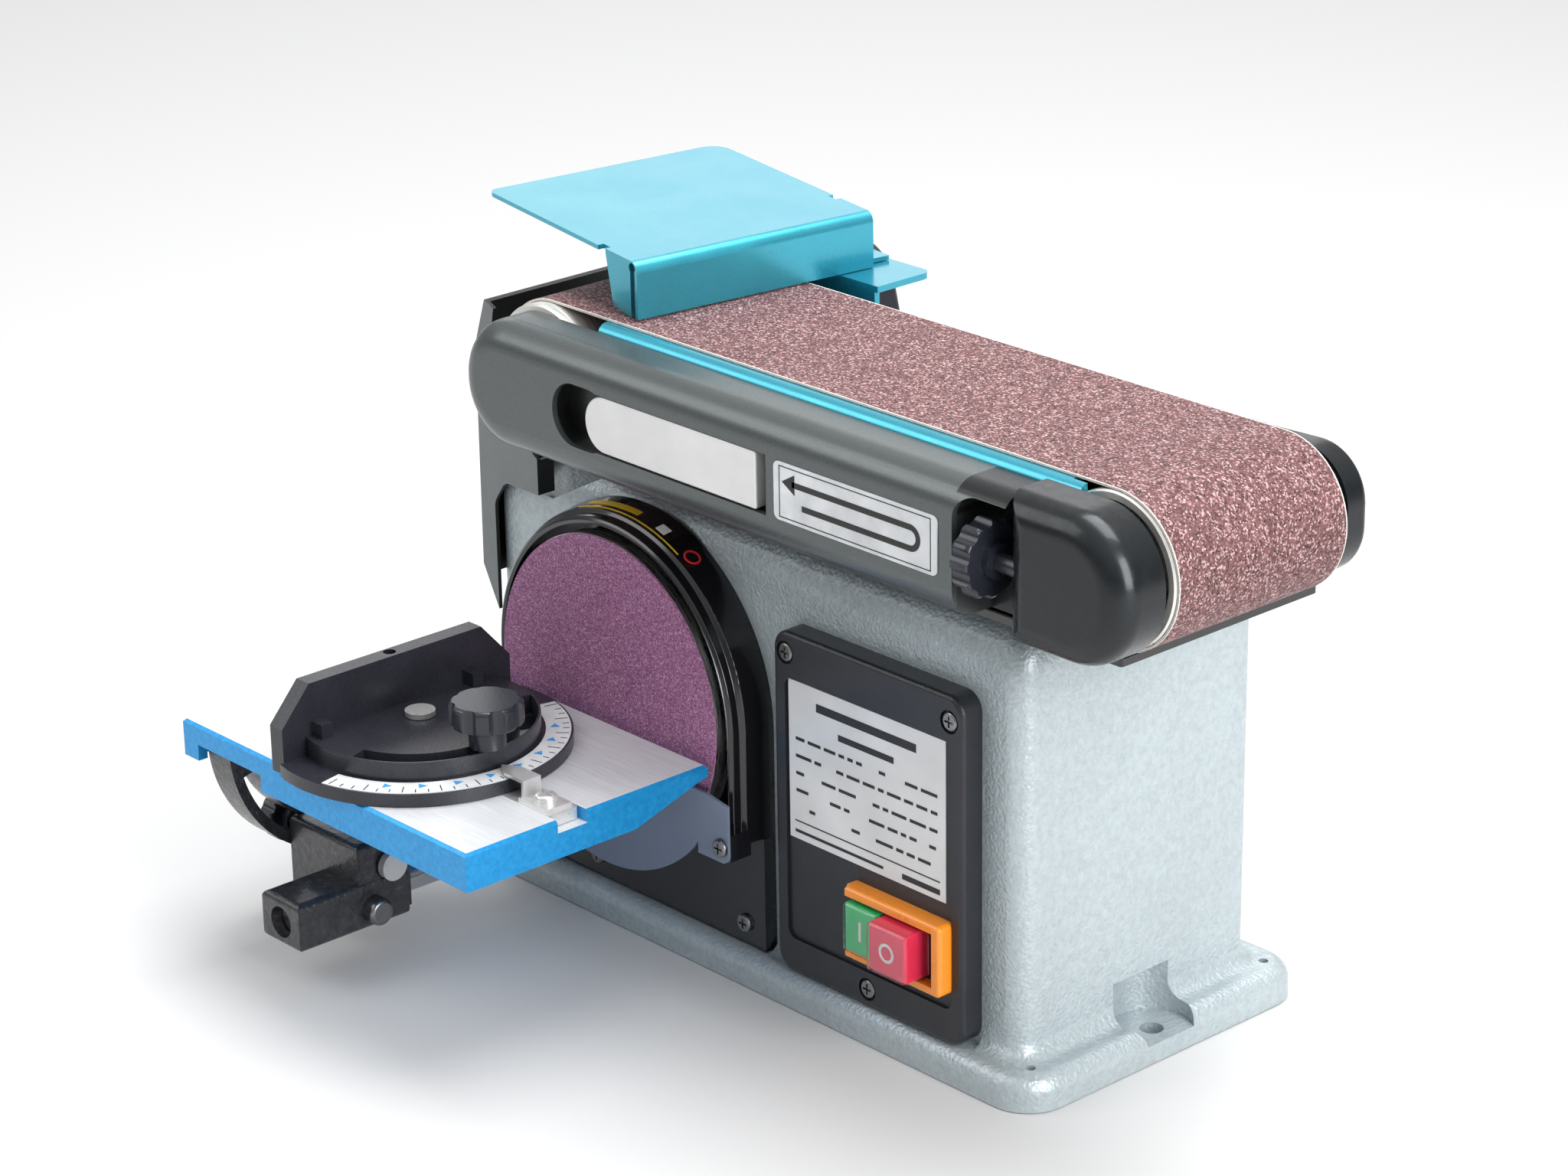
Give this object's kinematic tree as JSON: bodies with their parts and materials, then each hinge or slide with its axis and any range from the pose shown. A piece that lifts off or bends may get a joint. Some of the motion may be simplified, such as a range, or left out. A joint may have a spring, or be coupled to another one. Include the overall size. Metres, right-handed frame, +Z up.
{
  "type": "belt and disc sander",
  "caption": "Bench sander with a belt on a tilting arm over a cast base, a disc with a tilting slotted table and angle gauge, dust hood, work stop and switch panel.",
  "frame": {"origin": "midway between the two foot bolt holes, on the underside of the base", "axes": "+X along the belt towards its free end, the disc faces -Y, +Z up"},
  "size_m": [0.4897, 0.3505, 0.336],
  "materials": {
    "base_paint": "textured",
    "black_paint": "gloss",
    "grey_paint": "satin",
    "cover_grey": "satin",
    "black_plastic": "textured",
    "steel": "satin",
    "aluminium": "machined",
    "iron": "machined",
    "blue_paint": "gloss",
    "disc_grit": "coarse",
    "belt_grit": "coarse",
    "rubber": "matt",
    "orange_plastic": "gloss",
    "green_plastic": "gloss",
    "red_plastic": "gloss",
    "label": "satin",
    "bare_metal": "satin"
  },
  "bodies": {
    "stand": {"base_casting": "base_paint", "motor_housing": "aluminium", "stator_core": "bare_metal", "shaft_bearings": "steel", "disc_guard": "black_paint", "disc_cover": "grey_paint", "switch_panel": "black_plastic", "rating_plate": "label", "switch_frame": "orange_plastic", "switch_body": "black_plastic", "arm_post": "base_paint", "case_plate": "black_paint", "pulley_case": "black_plastic", "drive_belt": "rubber", "dust_hood": "grey_paint", "panel_screws": "steel", "sheet_screws": "steel", "table_rod": "steel"},
    "motor_spindle": {"motor_shaft": "steel", "rotor_core": "bare_metal", "motor_pulley": "aluminium", "disc_plate": "aluminium", "disc_abrasive": "disc_grit"},
    "drum_spindle": {"drum_shaft": "steel", "drive_drum": "aluminium", "drum_pulley": "aluminium"},
    "arm": {"arm_frame": "iron", "platen": "blue_paint", "sanding_belt": "belt_grit", "side_cover": "cover_grey", "idler_cap": "cover_grey", "far_cover": "black_paint", "belt_guard": "black_paint", "direction_plate": "label", "lever_pin": "steel", "arm_bolts": "steel", "stop_bracket": "blue_paint", "stop_screw": "steel", "tension_spring": "steel"},
    "stop_plate": {"work_stop": "blue_paint"},
    "lever": {"tension_lever": "steel"},
    "tracking": {"tracking_knob": "black_plastic"},
    "idler_carrier": {"idler_yoke": "iron", "idler_axle": "steel"},
    "idler_roller": {"idler_drum": "aluminium", "idler_bearings": "steel"},
    "carriage": {"table_carriage": "iron", "rod_screw": "steel"},
    "tilt_lock": {"tilt_bolt": "steel", "tilt_knob": "black_plastic"},
    "table_top": {"table": "aluminium", "trunnion": "iron"},
    "gauge_slider": {"gauge_bar": "steel", "gauge_pointer": "steel", "pointer_screw": "steel"},
    "gauge_swivel": {"gauge_head": "black_plastic", "gauge_scale": "label"},
    "gauge_lock": {"gauge_knob": "black_plastic"},
    "start_key": {"start_button": "green_plastic"},
    "stop_key": {"stop_button": "red_plastic"}
  },
  "joints": [
    {"name": "motor_spin", "type": "hinge", "parent": "stand", "child": "motor_spindle", "pos_m": [-0.069, 0, 0.125], "axis": [0, 1, 0], "continuous": true},
    {"name": "drum_spin", "type": "hinge", "parent": "stand", "child": "drum_spindle", "pos_m": [-0.107, 0, 0.2685], "axis": [0, 1, 0], "continuous": true},
    {"name": "arm_tilt", "type": "hinge", "parent": "stand", "child": "arm", "pos_m": [-0.107, 0, 0.2685], "axis": [0, -1, 0], "range_deg": [0, 25]},
    {"name": "stop_swing", "type": "hinge", "parent": "arm", "child": "stop_plate", "pos_m": [-0.06167, 0.05098, 0.306], "axis": [0, 0, 1], "range_deg": [-10, 14]},
    {"name": "lever_swing", "type": "hinge", "parent": "arm", "child": "lever", "pos_m": [0.057, -0.117, 0.2685], "axis": [0, 0, 1], "range_deg": [0, 80]},
    {"name": "tracking_turn", "type": "hinge", "parent": "arm", "child": "tracking", "pos_m": [0.2, -0.12, 0.2685], "axis": [1, 0, 0], "continuous": true},
    {"name": "idler_slide", "type": "slide", "parent": "arm", "child": "idler_carrier", "axis": [1, 0, 0], "range_m": [-0.007, 0], "deforming": ["tension_spring"]},
    {"name": "idler_spin", "type": "hinge", "parent": "idler_carrier", "child": "idler_roller", "pos_m": [0.2432, 0, 0.2685], "axis": [0, 1, 0], "continuous": true},
    {"name": "table_slide", "type": "slide", "parent": "stand", "child": "carriage", "axis": [0, -1, 0], "range_m": [0, 0.03]},
    {"name": "tilt_lock_turn", "type": "hinge", "parent": "carriage", "child": "tilt_lock", "pos_m": [-0.196, -0.18635, 0.04709], "axis": [1, 0, 0], "continuous": true},
    {"name": "table_tilt", "type": "hinge", "parent": "carriage", "child": "table_top", "pos_m": [-0.183, -0.166, 0.103], "axis": [1, 0, 0], "range_deg": [0, 45]},
    {"name": "gauge_slide", "type": "slide", "parent": "table_top", "child": "gauge_slider", "axis": [1, 0, 0], "range_m": [-0.05, 0.04]},
    {"name": "gauge_turn", "type": "hinge", "parent": "gauge_slider", "child": "gauge_swivel", "pos_m": [-0.103, -0.1815, 0.115], "axis": [0, 0, 1], "range_deg": [-60, 60]},
    {"name": "gauge_lock_turn", "type": "hinge", "parent": "gauge_slider", "child": "gauge_lock", "pos_m": [-0.054, -0.1815, 0.14], "axis": [0, 0, 1], "continuous": true},
    {"name": "start_press", "type": "slide", "parent": "stand", "child": "start_key", "axis": [0, 1, 0], "range_m": [0, 0.0035], "stiffness_N_per_m": 600},
    {"name": "stop_press", "type": "slide", "parent": "stand", "child": "stop_key", "axis": [0, 1, 0], "range_m": [0, 0.0035], "stiffness_N_per_m": 600}
  ],
  "couplings": [
    {"joint": "drum_spin", "follows": "motor_spin", "ratio": 0.91667},
    {"joint": "idler_spin", "follows": "motor_spin", "ratio": 0.91667},
    {"joint": "idler_slide", "follows": "lever_swing", "m_per_rad": -0.005}
  ]
}
